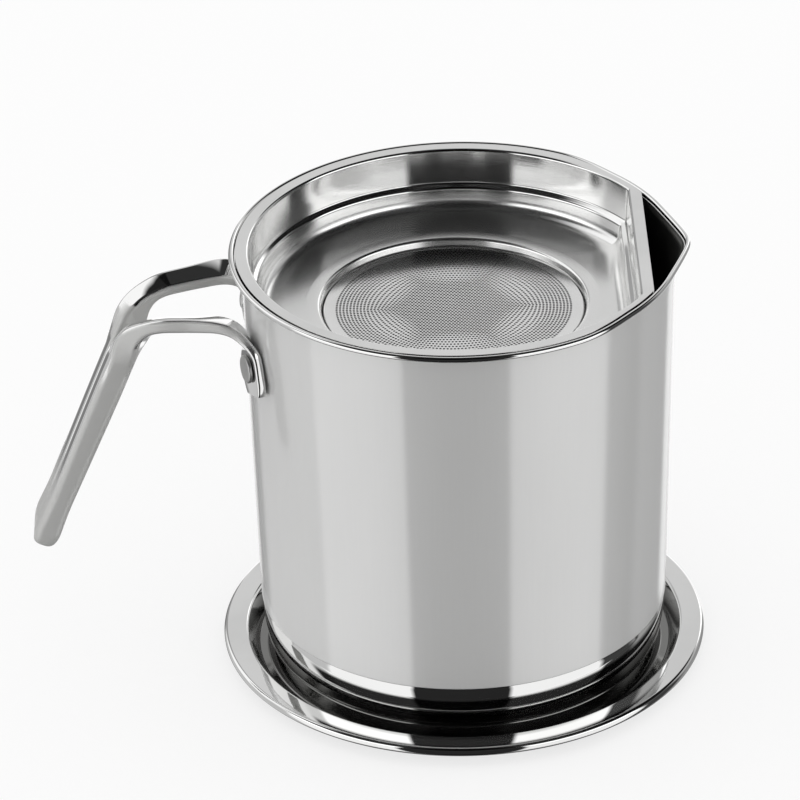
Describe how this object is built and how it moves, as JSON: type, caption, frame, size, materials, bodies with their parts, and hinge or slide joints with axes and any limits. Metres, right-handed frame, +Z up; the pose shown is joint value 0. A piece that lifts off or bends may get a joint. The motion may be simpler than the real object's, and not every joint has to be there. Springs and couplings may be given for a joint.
{
  "type": "grease keeper with strainer",
  "caption": "Steel pot with a pouring beak and a riveted side handle, holding a lift-out strainer and standing on a round drip tray.",
  "frame": {"origin": "centre of the tray's flat underside, on the pot's axis", "axes": "+Z up along the pot's axis, +X towards the pouring beak, -X towards the handle"},
  "size_m": [0.2146, 0.1548, 0.1435],
  "materials": {
    "tray_steel": "mirror-polished stainless steel",
    "pot_steel": "satin stainless steel with a polished band round the foot",
    "handle_steel": "polished stainless steel, duller on the grip",
    "rivet_steel": "polished stainless steel",
    "strainer_steel": "mirror-polished stainless steel",
    "disc_steel": "finely perforated stainless steel"
  },
  "bodies": {
    "tray": {"tray": "tray_steel"},
    "pot": {"pot_body": "pot_steel", "handle": "handle_steel", "rivet_front": "rivet_steel", "rivet_back": "rivet_steel"},
    "strainer": {"strainer_shell": "strainer_steel", "strainer_disc": "disc_steel"}
  },
  "joints": [
    {"name": "pot_lift", "type": "slide", "parent": "tray", "child": "pot", "axis": [0, 0, 1], "range_m": [0, 0.05]},
    {"name": "strainer_lift", "type": "slide", "parent": "pot", "child": "strainer", "axis": [0, 0, 1], "range_m": [0, 0.06]}
  ]
}
